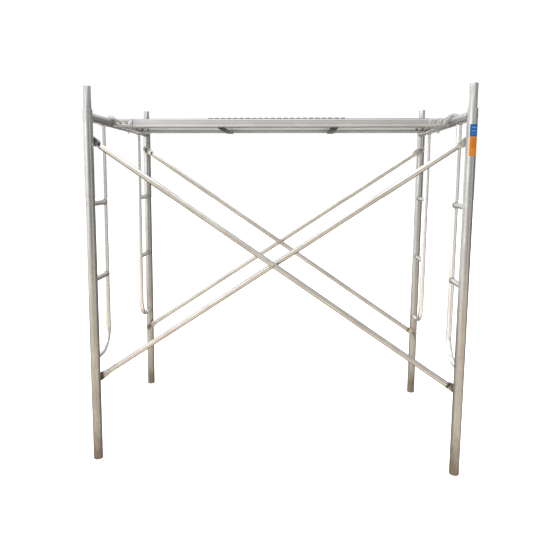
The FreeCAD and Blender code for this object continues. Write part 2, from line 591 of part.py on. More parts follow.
def blend_edge(shape):
    """Number of the edge where the round head meets the top of the tail."""
    top = doc.Sizes.get("board_rise") - doc.Sizes.get("deck_sheet")
    for number, edge in enumerate(shape.Edges, start=1):
        across = edge.BoundBox
        if across.YLength > 1 and across.XLength < 1e-3 and across.XMin > 0 and abs(across.ZMax - top) < 1e-3:
            if across.XMin < doc.Sizes.get("hook_tail") - 1:
                return number
    raise ValueError("the hook has no edge to blend")


def hook_rivet(name, x_side, y_side, reach):
    """Round-headed rivet through a hook's tail and the rail's web."""
    grip = "(Sizes.hook_thick + Sizes.rail_wall)"
    shank = cylinder(name + "_shank", "Sizes.rivet_od / 2", grip, turn=ALONG_Y)
    heads = [cylinder(f"{name}_{end}_head", "Sizes.rivet_head_od / 2", "Sizes.rivet_head", y=start,
                      turn=ALONG_Y)
             for end, start in (("outer", "-Sizes.rivet_head"), ("inner", grip))]
    turn = Rotation(Z_AXIS, 0 if y_side < 0 else 180)
    return move(join(name, [shank] + heads), f"{x_side} * (Sizes.bay_length / 2 - {reach})",
                f"{y_side} * {HOOK_FACE}", f"{BAR_HEIGHT} - Sizes.rivet_fall", turn)


# ---- Labels ----

def label_band(node, foot, height):
    """Plain printed band wrapped part of the way round the front right post."""
    inside = f"{POST_RADIUS} + Sizes.label_gap"
    outer = bind(cylinder(node + "_outer", f"{inside} + Sizes.label_thick", height), Angle="Sizes.label_wrap")
    inner = cylinder(node + "_inner", inside, f"4 * {height}", z=f"-{height}")
    whole = sub_part(cut(node, outer, inner), node)
    move(whole, "Sizes.bay_length / 2", "-Sizes.frame_width / 2", foot,
         Rotation(Z_AXIS, doc.Sizes.get("label_start")))


# ---- The whole section ----

def build():
    fill_sheet()
    rivets = []
    for corner, x_side, y_side in CORNERS:
        post(f"post_{corner}", x_side, y_side)
        spigot(f"spigot_{corner}", x_side, y_side)
        inner_upright(f"inner_upright_{corner}", x_side, y_side)
        for level, height in (("upper", "Sizes.rung_high"), ("lower", "Sizes.rung_low")):
            rung(f"rung_{corner}_{level}", x_side, y_side, height)
        for level, height in LEVELS:
            brace_stud(f"brace_stud_{corner}_{level}", x_side, y_side, height)
            latch(f"latch_{corner}_{level}", x_side, y_side, height)
            rivets.append(latch_rivet(f"latch_rivet_{corner}_{level}", x_side, y_side, height))
    group("latch_rivets", rivets)
    for end, x_side in ENDS:
        crossbar(f"crossbar_{end}", x_side)
        end_channel(f"board_end_channel_{end}", x_side)
        cross_strip(f"board_cross_strip_{end}", x_side)
    for side, y_side in SIDES:
        brace(f"brace_{side}_falling", y_side, True)
        brace(f"brace_{side}_rising", y_side, False)
        side_rail(f"board_rail_{side}", y_side)
    group("brace_pivot_rivets", [brace_rivet(f"pivot_rivet_{side}", y_side) for side, y_side in SIDES])
    group("brace_spacers", [brace_washer(f"spacer_{side}", y_side) for side, y_side in SIDES])
    deck("board_deck")
    for corner, x_side, y_side in CORNERS:
        hook(f"board_hook_{corner}", x_side, y_side)
    group("board_hook_rivets", [hook_rivet(f"hook_rivet_{corner}_{which}", x_side, y_side, reach)
                                for corner, x_side, y_side in CORNERS for which, reach in HOOK_RIVETS])
    blue_foot = "(Sizes.post_height - Sizes.label_drop - Sizes.blue_high)"
    label_band("label_blue", blue_foot, "Sizes.blue_high")
    label_band("label_orange", f"{blue_foot} - Sizes.orange_high", "Sizes.orange_high")


def check():
    """Stop if any object failed to build or any sub-part has no good solid."""
    doc.recompute()
    for thing in doc.Objects:
        if "Invalid" in thing.State or "Error" in thing.State:
            raise RuntimeError(f"{thing.Name} failed: {thing.State}")
    for thing in sub_parts:
        shape = thing.Shape
        if shape.isNull() or not shape.isValid() or not shape.Solids:
            raise RuntimeError(f"{thing.Label} has no valid solid")


def write():
    os.makedirs("parts", exist_ok=True)
    for thing in sub_parts:
        thing.Shape.exportStep(f"parts/{thing.Label}.step")
    print(len(sub_parts), "sub-parts written")


build()
check()
write()
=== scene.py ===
"""Looks for a frame scaffold section: two galvanised end frames, crossed braces and a hooked walk board."""
import json
import math

import bmesh
import bpy
from mathutils import Matrix, Vector, noise


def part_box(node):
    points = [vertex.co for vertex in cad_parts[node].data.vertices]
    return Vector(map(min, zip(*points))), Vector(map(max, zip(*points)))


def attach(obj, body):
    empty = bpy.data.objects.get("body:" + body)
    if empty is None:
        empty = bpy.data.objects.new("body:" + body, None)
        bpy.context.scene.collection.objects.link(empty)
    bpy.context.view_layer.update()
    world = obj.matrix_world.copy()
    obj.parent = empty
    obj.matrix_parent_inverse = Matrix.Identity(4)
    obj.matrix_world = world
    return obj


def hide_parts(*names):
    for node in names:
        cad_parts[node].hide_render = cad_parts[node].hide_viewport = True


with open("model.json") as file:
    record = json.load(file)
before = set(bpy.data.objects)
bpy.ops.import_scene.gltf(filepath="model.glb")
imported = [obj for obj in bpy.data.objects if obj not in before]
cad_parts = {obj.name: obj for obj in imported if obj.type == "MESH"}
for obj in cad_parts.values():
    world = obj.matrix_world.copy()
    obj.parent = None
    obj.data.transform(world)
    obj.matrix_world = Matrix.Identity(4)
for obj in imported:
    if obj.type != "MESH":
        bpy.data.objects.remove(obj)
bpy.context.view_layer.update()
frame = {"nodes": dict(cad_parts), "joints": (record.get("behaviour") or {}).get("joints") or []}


# ---- Posts ----
# Four upright tubes of mild steel, cut square, with a mouth reamed at the top for the spigot.
# Each end frame is welded up first and then dipped in molten zinc, which leaves runs and dull clouds.
corners = {"front_left": (-1, -1), "front_right": (1, -1), "rear_left": (-1, 1), "rear_right": (1, 1)}
post_radius, post_bore, post_height = 0.0212, 0.0192, 1.6
mouth_radius, mouth_floor = 0.0196, 1.49
cut_edge = 0.0004


def linear(hex_colour):
    """An sRGB hex colour as the linear values that a shader takes."""
    shares = [int(hex_colour[start:start + 2], 16) / 255 for start in (1, 3, 5)]
    return [share / 12.92 if share <= 0.04045 else ((share + 0.055) / 1.055) ** 2.4 for share in shares] + [1]


def node(tree, kind, settings, links=None):
    """Add a shader node, set its fields and sockets, and link its inputs."""
    made = tree.nodes.new(kind)
    for key, value in settings.items():
        if isinstance(key, str) and hasattr(made, key):
            setattr(made, key, value)
        else:
            made.inputs[key].default_value = value
    for key, source in (links or {}).items():
        tree.links.new(source, made.inputs[key])
    return made


def ranged(tree, value, start, finish, low=0.0, high=1.0):
    """Stretch a socket's range from start..finish to low..high, held at both ends."""
    ends = {"From Min": start, "From Max": finish, "To Min": low, "To Max": high}
    return node(tree, "ShaderNodeMapRange", ends, {"Value": value}).outputs["Result"]


def maths(tree, operation, *values, clamp=False):
    """One Math node on sockets and numbers, in order."""
    made = node(tree, "ShaderNodeMath", {"operation": operation, "use_clamp": clamp})
    for index, value in enumerate(values):
        if isinstance(value, bpy.types.NodeSocket):
            tree.links.new(value, made.inputs[index])
        else:
            made.inputs[index].default_value = value
    return made.outputs[0]


def hot_dip_zinc(name, bright, dull, grime, turn=(0, 0, 0), rough=(0.19, 0.32), grimy=0.3, foot_grime=0.0):
    """Hot-dip galvanised steel: a bright metal with 9 mm spangle, 4 mm wide runs and duller 160 mm clouds.

    turn carries the way that the tube runs onto Z, so that the runs follow the tube.
    """
    material = bpy.data.materials.new(name)
    material.use_nodes = True
    tree = material.node_tree
    tree.nodes.clear()
    place = node(tree, "ShaderNodeTexCoord", {}).outputs["Object"]
    along = node(tree, "ShaderNodeMapping", {"Rotation": turn}, {"Vector": place}).outputs["Vector"]

    # Colour: long runs and clouds blend the bright zinc with the dull, and each crystal has its own grey.
    run_width, run_stretch, cloud_size, crystal_size, pit_size = 0.008, 0.035, 0.16, 0.009, 0.0016
    drawn = node(tree, "ShaderNodeMapping", {"Scale": (1, 1, run_stretch)}, {"Vector": along}).outputs["Vector"]
    runs = node(tree, "ShaderNodeTexNoise", {"Scale": 1 / run_width, "Detail": 4, "Roughness": 0.6},
                {"Vector": drawn}).outputs["Fac"]
    clouds = node(tree, "ShaderNodeTexNoise", {"Scale": 1 / cloud_size, "Detail": 5, "Roughness": 0.62,
                                               "Distortion": 0.6}, {"Vector": place}).outputs["Fac"]
    spangle = node(tree, "ShaderNodeTexVoronoi", {"Scale": 1 / crystal_size, "Randomness": 1.0},
                   {"Vector": place})
    crystal = node(tree, "ShaderNodeSeparateColor", {}, {"Color": spangle.outputs["Color"]}).outputs["Red"]
    streak = ranged(tree, runs, 0.32, 0.68)
    cloud = ranged(tree, clouds, 0.36, 0.66)
    worn = maths(tree, "MULTIPLY_ADD", streak, 0.55, maths(tree, "MULTIPLY", cloud, 0.45))
    metal = node(tree, "ShaderNodeMix", {"data_type": "RGBA", 6: linear(bright), 7: linear(dull)},
                 {0: worn}).outputs[2]
    grain = ranged(tree, crystal, 0, 1, 0.94, 1.04)
    metal = node(tree, "ShaderNodeVectorMath", {"operation": "SCALE"}, {0: metal, "Scale": grain}).outputs[0]

    # Dirt: smears everywhere, and splashed mud that thickens over the last 0.9 m and again over 0.2 m.
    smear_size = 0.045
    pulled = node(tree, "ShaderNodeMapping", {"Scale": (1, 1, 0.3)}, {"Vector": along}).outputs["Vector"]
    smear = node(tree, "ShaderNodeTexNoise", {"Scale": 1 / smear_size, "Detail": 6, "Roughness": 0.7,
                                              "Distortion": 0.8}, {"Vector": pulled}).outputs["Fac"]
    height = node(tree, "ShaderNodeSeparateXYZ", {}, {"Vector": place}).outputs["Z"]
    low = ranged(tree, height, 0.9, 0.0, 0.0, foot_grime)
    splash = ranged(tree, height, 0.2, 0.0, 0.0, 2.4 * foot_grime)
    marks = ranged(tree, smear, 0.5, 0.72, 0.0, grimy)
    dirty = maths(tree, "MULTIPLY", maths(tree, "ADD", low, splash), smear)
    dirty = maths(tree, "ADD", dirty, marks, clamp=True)
    colour = node(tree, "ShaderNodeMix", {"data_type": "RGBA", 7: linear(grime)},
                  {0: dirty, 6: metal}).outputs[2]

    # Finish: dull zinc and dirt scatter more, dirt hides the metal, and fine pits break the reflections.
    shine = ranged(tree, worn, 0, 1, *rough)
    matt = maths(tree, "MULTIPLY_ADD", dirty, 0.3, shine)
    bare = ranged(tree, dirty, 0, 1, 1.0, 0.55)
    pits = node(tree, "ShaderNodeTexNoise", {"Scale": 1 / pit_size, "Detail": 3},
                {"Vector": place}).outputs["Fac"]
    relief = maths(tree, "MULTIPLY_ADD", pits, 0.4, streak)
    bump = node(tree, "ShaderNodeBump", {"Strength": 0.22, "Distance": 0.00035},
                {"Height": relief}).outputs["Normal"]
    shader = node(tree, "ShaderNodeBsdfPrincipled", {},
                  {"Base Color": colour, "Metallic": bare, "Roughness": matt, "Normal": bump})
    node(tree, "ShaderNodeOutputMaterial", {}, {"Surface": shader.outputs["BSDF"]})
    return material


def turned(outline, foot, along=(0, 0, 1), steps=64):
    """A closed outline of (radius, height) points turned round an axis that starts at foot."""
    form = bmesh.new()
    points = [form.verts.new((radius, 0, height)) for radius, height in outline]
    rim = [form.edges.new((first, second)) for first, second in zip(points, points[1:] + points[:1])
           if first.co.x > 0 or second.co.x > 0]
    bmesh.ops.spin(form, geom=points + rim, cent=(0, 0, 0), axis=(0, 0, 1), angle=math.tau, steps=steps,
                   use_merge=True)
    bmesh.ops.remove_doubles(form, verts=form.verts, dist=1e-7)
    bmesh.ops.recalc_face_normals(form, faces=form.faces)
    aim = Vector((0, 0, 1)).rotation_difference(Vector(along)).to_matrix().to_4x4()
    bmesh.ops.transform(form, matrix=Matrix.Translation(foot) @ aim, verts=form.verts)
    return form


def add_piece(form, name, material, stands_for=(), body="frame_and_braces", crease=35):
    """Make a bmesh into a named piece that rides on a body and stands for its CAD nodes."""
    mesh = bpy.data.meshes.new(name)
    form.to_mesh(mesh)
    form.free()
    mesh.shade_smooth()
    mesh.set_sharp_from_angle(angle=math.radians(crease))
    mesh.materials.append(material)
    piece = bpy.data.objects.new(name, mesh)
    bpy.context.scene.collection.objects.link(piece)
    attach(piece, body)
    if stands_for:
        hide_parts(*stands_for)
    return piece


def middle_of(node_name):
    """Middle of a CAD node's box."""
    low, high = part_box(node_name)
    return (low + high) / 2


# Satin grey tube with long pale and dull runs, browner and flatter towards the splashed foot.
post_zinc = hot_dip_zinc("hot_dip_zinc_on_post_tube", "#D0D0CE", "#B2B0AB", "#786D5E", foot_grime=0.75)
post_outline = [(post_bore, 0.0003), (post_bore + cut_edge, 0), (post_radius - cut_edge, 0),
                (post_radius, cut_edge), (post_radius, post_height - cut_edge),
                (post_radius - cut_edge, post_height), (mouth_radius + 0.0002, post_height),
                (mouth_radius, post_height - 0.0002), (mouth_radius, mouth_floor),
                (post_bore, mouth_floor - cut_edge)]
post_axis = {}
for corner in corners:
    centre = middle_of("post_" + corner)
    post_axis[corner] = Vector((centre.x, centre.y, 0))
    tube = turned(post_outline, post_axis[corner])
    add_piece(tube, "upright_tube_" + corner, post_zinc, ["post_" + corner])


# ---- Joint spigots ----
# Short steel tubes that carry the next frame. Each is centred in the post mouth by two rings
# and held by plug welds, and stands 100 mm proud with a chamfer that leads the next post on.
spigot_radius, spigot_bore, spigot_ring, ring_tall = 0.017, 0.0145, 0.0194, 0.008
spigot_foot, spigot_top, worn_edge = 1.5, 1.7, 0.0005
# A little brighter and cleaner than the posts, since it is new under each stacked frame.
spigot_zinc = hot_dip_zinc("hot_dip_zinc_on_spigot", "#D0CFCD", "#A8A6A3", "#837D74", grimy=0.2)
spigot_outline = [(spigot_bore, spigot_foot + 0.0003), (spigot_bore + 0.0003, spigot_foot),
                  (spigot_ring - worn_edge, spigot_foot), (spigot_ring, spigot_foot + worn_edge),
                  (spigot_ring, spigot_foot + ring_tall), (spigot_radius, spigot_foot + ring_tall),
                  (spigot_radius, post_height - ring_tall), (spigot_ring, post_height - ring_tall),
                  (spigot_ring, post_height - 0.0006), (spigot_ring - 0.0006, post_height),
                  (spigot_radius + worn_edge, post_height), (spigot_radius, post_height + worn_edge),
                  (spigot_radius, spigot_top - 0.0015), (spigot_radius - 0.0006, spigot_top - worn_edge),
                  (spigot_radius - 0.0015, spigot_top), (spigot_bore + 0.0003, spigot_top),
                  (spigot_bore, spigot_top - 0.0003)]
for corner, axis in post_axis.items():
    tube = turned(spigot_outline, axis)
    add_piece(tube, "spigot_tube_" + corner, spigot_zinc, ["spigot_" + corner])


# ---- Top bars ----
# One tube of the posts' size across the top of each end frame, with both ends coped to the posts
# and welded all round. The walk board hangs on it, so its top is rubbed bright.
slim_radius = 0.0125
bar_height = middle_of("crossbar_left").z
weld_size = 0.0027
# Dark, rubbed zinc that mirrors the room in a bright line along the top.
bar_zinc = hot_dip_zinc("hot_dip_zinc_on_top_bar", "#B9B8B8", "#979696", "#6E6A64", turn=(math.pi / 2, 0, 0),
                        grimy=0.4)
# Rougher and darker than the tubes, with dirt held in the ripples.
weld_zinc = hot_dip_zinc("hot_dip_zinc_over_weld", "#B4B1AC", "#7F7C78", "#5F584F", rough=(0.38, 0.6),
                         grimy=0.5)


def round_tube(start, finish, radius, steps=48):
    """An open skin along a straight line, with the verts of its two end rings."""
    form = bmesh.new()
    way = finish - start
    aim = Vector((0, 0, 1)).rotation_difference(way).to_matrix().to_4x4()
    first = bmesh.ops.create_circle(form, segments=steps, radius=radius)["verts"]
    bmesh.ops.transform(form, matrix=Matrix.Translation(start) @ aim, verts=first)
    last = drawn_on(form, first, way)
    return form, first, last


def drawn_on(form, ring, way):
    """Extrude a ring of verts along a straight way and give back the new ring."""
    rim = list({edge for vert in ring for edge in vert.link_edges if edge.other_vert(vert) in set(ring)})
    grown = bmesh.ops.extrude_edge_only(form, edges=rim)["geom"]
    last = [item for item in grown if isinstance(item, bmesh.types.BMVert)]
    bmesh.ops.translate(form, vec=way, verts=last)
    return last


def cope(ring, onto, run, side, radius):
    """Slide the end ring of a tube along X, Y or Z (run 0 to 2) until it seats on a round tube."""
    for vert in ring:
        across = min(abs(vert.co.x - onto.x), radius)
        vert.co[run] = onto[run] + side * math.sqrt(radius ** 2 - across ** 2)


def closed(form):
    """Close the open ends and turn every face outwards."""
    bmesh.ops.holes_fill(form, edges=form.edges, sides=0)
    bmesh.ops.recalc_face_normals(form, faces=form.faces)
    return form


def weld_bead(welds, onto, way, tube_radius, onto_radius, size=weld_size):
    """Add a rippled bead where a tube that runs along way seats on the round tube whose axis passes onto."""
    ripples, ripple_deep, waver = 24, 0.14, 0.25
    before = len(welds.verts)
    section = bmesh.ops.create_circle(welds, segments=8, radius=size)["verts"]
    lay = Matrix.Translation((tube_radius, 0, 0)) @ Matrix.Rotation(math.pi / 2, 4, "X")
    bmesh.ops.transform(welds, matrix=lay, verts=section)
    rim = list({edge for vert in section for edge in vert.link_edges})
    bmesh.ops.spin(welds, geom=section + rim, cent=(0, 0, 0), axis=(0, 0, 1), angle=math.tau, steps=72,
                   use_merge=True)
    welds.verts.ensure_lookup_table()
    bead = welds.verts[before:]
    for vert in bead:
        turn = math.atan2(vert.co.y, vert.co.x)
        core = Vector((tube_radius * math.cos(turn), tube_radius * math.sin(turn), 0))
        swell = 1 + ripple_deep * math.sin(ripples * turn) + waver * noise.noise(core * 90 + onto * 7)
        saddle = math.sqrt(max(onto_radius ** 2 - core.x ** 2, 0))
        vert.co = core + (vert.co - core) * swell + Vector((0, 0, saddle))
    way = Vector(way)
    side = way.cross(Vector((1, 0, 0)))
    frame_of_weld = Matrix(((1, side.x, way.x), (0, side.y, way.y), (0, side.z, way.z))).to_4x4()
    bmesh.ops.transform(welds, matrix=Matrix.Translation(onto) @ frame_of_weld, verts=bead)


for name, x_side in (("left", -1), ("right", 1)):
    front, rear = (post_axis[f"{place}_{name}"] + Vector((0, 0, bar_height)) for place in ("front", "rear"))
    bar, first, last = round_tube(front, rear, post_radius, steps=64)
    cope(first, front, 1, 1, post_radius)
    cope(last, rear, 1, -1, post_radius)
    add_piece(closed(bar), "top_bar_" + name, bar_zinc, ["crossbar_" + name])
    welds = bmesh.new()
    weld_bead(welds, front, (0, 1, 0), post_radius, post_radius)
    weld_bead(welds, rear, (0, -1, 0), post_radius, post_radius)
    bmesh.ops.recalc_face_normals(welds, faces=welds.faces)
    add_piece(welds, "top_bar_welds_" + name, weld_zinc)


# ---- Inner uprights ----
# Slim tubes that stiffen each end frame. Each hangs from the top bar, runs down beside its post
# and turns through a 100 mm bend into it, with a weld at the top and at the foot.
foot_height, foot_bend, foot_straight = 0.482, 0.1, 0.03


def painted_light_less_metallic(material, amount, attribute=None):
    """Painted light: the zinc keeps its colour and turns less metallic, so that it reads whiter and brighter.

    It covers the whole material, or only where a mesh attribute is set.
    """
    tree = material.node_tree
    shader = next(item for item in tree.nodes if item.type == "BSDF_PRINCIPLED")
    bare = shader.inputs["Metallic"].links[0].from_socket
    if attribute is None:
        less = maths(tree, "MULTIPLY", bare, 1 - amount)
    else:
        share = node(tree, "ShaderNodeAttribute", {"attribute_name": attribute}).outputs["Fac"]
        less = maths(tree, "MULTIPLY_ADD", share, -amount, bare, clamp=True)
    tree.links.new(less, shader.inputs["Metallic"])


# The palest zinc on the frame, with painted light: a near-white base, made less metallic, so that the slim
# tubes read brighter than the light makes them.
slim_zinc = hot_dip_zinc("hot_dip_zinc_on_slim_tube", "#FAF9F7", "#E8E6E2", "#ABA396", grimy=0.25)
painted_light_less_metallic(slim_zinc, 0.12)
inner_axis = {}
for corner, (_, y_side) in corners.items():
    post = post_axis[corner]
    low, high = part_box("inner_upright_" + corner)
    across = (low.y if y_side > 0 else high.y) + y_side * slim_radius
    inner_axis[corner] = Vector((post.x, across, 0))
    top = Vector((post.x, across, bar_height))
    turn_in = Vector((post.x, across, foot_height + foot_bend))
    tube, first, ring = round_tube(top, turn_in, slim_radius, steps=40)
    rim = list({edge for vert in ring for edge in vert.link_edges if edge.other_vert(vert) in set(ring)})
    centre = turn_in + Vector((0, y_side * foot_bend, 0))
    bent = bmesh.ops.spin(tube, geom=ring + rim, cent=centre, axis=(y_side, 0, 0), angle=math.pi / 2,
                          steps=24, use_duplicate=False)["geom_last"]
    ring = [item for item in bent if isinstance(item, bmesh.types.BMVert)]
    last = drawn_on(tube, ring, Vector((0, y_side * foot_straight, 0)))
    foot = Vector((post.x, post.y, foot_height))
    cope(first, top, 2, -1, post_radius)
    cope(last, foot, 1, -y_side, post_radius)
    add_piece(closed(tube), "inner_tube_" + corner, slim_zinc,
              ["inner_upright_" + corner])
    welds = bmesh.new()
    weld_bead(welds, top, (0, 0, -1), slim_radius, post_radius)
    weld_bead(welds, foot, (0, -y_side, 0), slim_radius, post_radius)
    bmesh.ops.recalc_face_normals(welds, faces=welds.faces)
    add_piece(welds, "inner_tube_welds_" + corner, weld_zinc)


# ---- Rungs ----
# Two short slim tubes join each inner upright to its post. They are coped at both ends, welded
# all round, and serve as steps.
# A mid grey between the posts and the inner tubes, with runs across the frame.
rung_zinc = hot_dip_zinc("hot_dip_zinc_on_rung", "#DAD8D4", "#A9A6A0", "#7C7468", turn=(math.pi / 2, 0, 0))
for corner, (_, y_side) in corners.items():
    welds = bmesh.new()
    for level in ("upper", "lower"):
        height = Vector((0, 0, middle_of(f"rung_{corner}_{level}").z))
        outer, inner = post_axis[corner] + height, inner_axis[corner] + height
        tube, first, last = round_tube(outer, inner, slim_radius, steps=40)
        cope(first, outer, 1, -y_side, post_radius)
        cope(last, inner, 1, y_side, slim_radius)
        add_piece(closed(tube), f"rung_tube_{corner}_{level}", rung_zinc,
                  [f"rung_{corner}_{level}"])
        weld_bead(welds, outer, (0, -y_side, 0), slim_radius, post_radius)
        weld_bead(welds, inner, (0, y_side, 0), slim_radius, slim_radius, size=0.0022)
    bmesh.ops.recalc_face_normals(welds, faces=welds.faces)
    add_piece(welds, "rung_welds_" + corner, weld_zinc)


# ---- Brace studs and gravity latches ----
# Turned steel studs, zinc plated and welded to the posts, each with a collar, a slot and a flat
# latch that hangs from a rivet. The latch drops after the brace end is pushed on, and keeps it there.
collar_radius = 0.011
# Duller and dirtier than the dipped tubes, with soft highlights: small plated parts that hold grime.
plated_steel = hot_dip_zinc("zinc_plated_turned_steel", "#B9B7B2", "#8B8884", "#5E564B", rough=(0.3, 0.48),
                            grimy=0.4)


def eased(node_name, width, smallest=40):
    """A copy of a CAD node's mesh, merged, with its sharp edges broken by a small round."""
    form = bmesh.new()
    form.from_mesh(frame["nodes"][node_name].data)
    bmesh.ops.remove_doubles(form, verts=form.verts, dist=1e-6)
    bmesh.ops.dissolve_limit(form, angle_limit=math.radians(1), verts=form.verts, edges=form.edges)
    sharp = [edge for edge in form.edges
             if edge.is_manifold and edge.calc_face_angle() > math.radians(smallest)]
    bmesh.ops.bevel(form, geom=sharp, offset=width, affect="EDGES", segments=2, profile=0.5, material=-1,
                    clamp_overlap=True)
    return form


def rivet_outline(dome, shank, start, finish):
    """A rivet's outline: a shank between two heights, with the same dome of (radius, rise) at each end."""
    under = [(radius, start - rise) for radius, rise in reversed(dome)]
    over = [(radius, finish + rise) for radius, rise in dome]
    return under + [(shank, start), (shank, finish)] + over


def gather(group, form):
    """Move a finished bmesh into the group that becomes one piece."""
    mesh = bpy.data.meshes.new("gathered")
    form.to_mesh(mesh)
    form.free()
    group.from_mesh(mesh)
    bpy.data.meshes.remove(mesh)


for corner, (_, y_side) in corners.items():
    welds = bmesh.new()
    for level in ("upper", "lower"):
        stud = f"brace_stud_{corner}_{level}"
        height = Vector((0, 0, middle_of(stud).z))
        add_piece(eased(stud, 0.0003), f"turned_stud_{corner}_{level}", plated_steel,
                  [stud])
        weld_bead(welds, post_axis[corner] + height, (0, -y_side, 0), collar_radius, post_radius, size=0.0022)
        plate = f"latch_{corner}_{level}"
        add_piece(eased(plate, 0.0004), f"latch_plate_{corner}_{level}", plated_steel,
                  [plate], body=plate + "_body")
    bmesh.ops.recalc_face_normals(welds, faces=welds.faces)
    add_piece(welds, "stud_welds_" + corner, weld_zinc)

latch_rivet_half, latch_pin, latch_head = 0.0065, 0.002, 0.0035
latch_dome = [(latch_head, 0), (latch_head, 0.0002), (0.003, 0.0006), (0.0018, 0.0011), (0, 0.0012)]
latch_outline = rivet_outline(latch_dome, latch_pin, -latch_rivet_half, latch_rivet_half)
rivets = bmesh.new()
for corner in corners:
    for level in ("upper", "lower"):
        joint = next(item for item in frame["joints"] if item["child"] == f"latch_{corner}_{level}_body")
        gather(rivets, turned(latch_outline, Vector(joint["pos_m"]), along=(1, 0, 0), steps=20))
add_piece(rivets, "latch_rivet_set", plated_steel, ["latch_rivets"])


# ---- Cross braces ----
# Thin-walled steel tubes, four in all, with both ends pressed flat and punched to go on the studs.
# They were dipped after pressing. The flats are darker, most of all at the left ends.
brace_radius, flat_half, flat_width = 0.0125, 0.002, 0.017
flat_length, taper_length, stud_hole = 0.034, 0.028, 0.00725
tip_blunt, flat_fade, dark_left, dark_right = 0.0016, 0.014, 0.9, 0.15
stud_at = {level: middle_of(f"brace_stud_front_left_{level}").z for level in ("upper", "lower")}
bay = post_axis["front_right"].x - post_axis["front_left"].x
drop = stud_at["upper"] - stud_at["lower"]
slope, brace_length = math.atan2(drop, bay), math.hypot(drop, bay)


def mottled_mix_where(material, attribute, dark, light):
    """Mix a second colour, pitted every 7 mm, into a zinc wherever the mesh attribute is set: darker pressed
    flats on the braces, and painted light and shade on the board.
    """
    pit_spacing = 0.007
    tree = material.node_tree
    shader = next(item for item in tree.nodes if item.type == "BSDF_PRINCIPLED")
    base = shader.inputs["Base Color"].links[0].from_socket
    share = node(tree, "ShaderNodeAttribute", {"attribute_name": attribute}).outputs["Fac"]
    pitting = node(tree, "ShaderNodeTexNoise", {"Scale": 1 / pit_spacing, "Detail": 5, "Roughness": 0.7},
                   {"Vector": node(tree, "ShaderNodeTexCoord", {}).outputs["Object"]}).outputs["Fac"]
    finish = node(tree, "ShaderNodeMix", {"data_type": "RGBA", 6: linear(dark), 7: linear(light)},
                  {0: pitting}).outputs[2]
    mixed = node(tree, "ShaderNodeMix", {"data_type": "RGBA"}, {0: share, 6: base, 7: finish}).outputs[2]
    tree.links.new(mixed, shader.inputs["Base Color"])


def painted_light_lines(material, attribute, colour, foot, lines):
    """Paint level lines of light and shade where the mesh attribute is set: each a rise over foot, half its
    width, a strength.
    """
    tree = material.node_tree
    shader = next(item for item in tree.nodes if item.type == "BSDF_PRINCIPLED")
    base = shader.inputs["Base Color"].links[0].from_socket
    share = node(tree, "ShaderNodeAttribute", {"attribute_name": attribute}).outputs["Fac"]
    place = node(tree, "ShaderNodeTexCoord", {}).outputs["Object"]
    height = node(tree, "ShaderNodeSeparateXYZ", {}, {"Vector": place}).outputs["Z"]
    for rise, half, strength in lines:
        away = maths(tree, "ABSOLUTE", maths(tree, "SUBTRACT", height, foot + rise))
        line = maths(tree, "MULTIPLY", ranged(tree, away, half, 0.6 * half, 0.0, strength), share)
        base = node(tree, "ShaderNodeMix", {"data_type": "RGBA", 7: linear(colour)},
                    {0: line, 6: base}).outputs[2]
    tree.links.new(base, shader.inputs["Base Color"])


def brace_section(reach):
    """Half width, half thickness, roundness and share of the sideways shift at a distance from a hole."""
    if reach < flat_length:
        tip = math.sqrt(max(flat_width ** 2 - min(reach, 0) ** 2, tip_blunt ** 2))
        return tip, flat_half, 0, 0
    share = min((reach - flat_length) / taper_length, 1)
    share = share * share * (3 - 2 * share)
    return (flat_width + (brace_radius - flat_width) * share, flat_half + (brace_radius - flat_half) * share,
            share, share)


